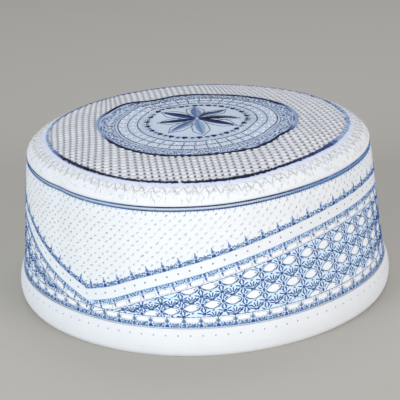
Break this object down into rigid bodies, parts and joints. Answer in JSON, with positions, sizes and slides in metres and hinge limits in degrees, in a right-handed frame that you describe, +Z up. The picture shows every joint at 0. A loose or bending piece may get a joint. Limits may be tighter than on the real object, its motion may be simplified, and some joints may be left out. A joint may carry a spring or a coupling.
{
  "type": "prayer cap",
  "caption": "Flat-topped embroidered prayer cap with a rounded shoulder, a slightly flaring side and a folded hem that it rests on.",
  "frame": {"origin": "centre of the hem's footprint on the surface that the cap rests on", "axes": "+Z up through the crown; the front, where the wave of the side band comes down to the hem, faces -Y"},
  "size_m": [0.1924, 0.1906, 0.0886],
  "materials": {
    "crown_cloth": "white cotton worked with a grid of small pulled holes and blue embroidery",
    "shoulder_cloth": "white cotton with grey zigzag stitching between a navy and a light-blue line",
    "wall_cloth": "white cotton with small eyelets and a wide waved band of blue embroidery",
    "hem_cloth": "plain white cotton, folded, with one row of small holes"
  },
  "bodies": {
    "root": {"crown_top": "crown_cloth", "shoulder_band": "shoulder_cloth", "side_wall": "wall_cloth", "hem_band": "hem_cloth"}
  },
  "joints": []
}
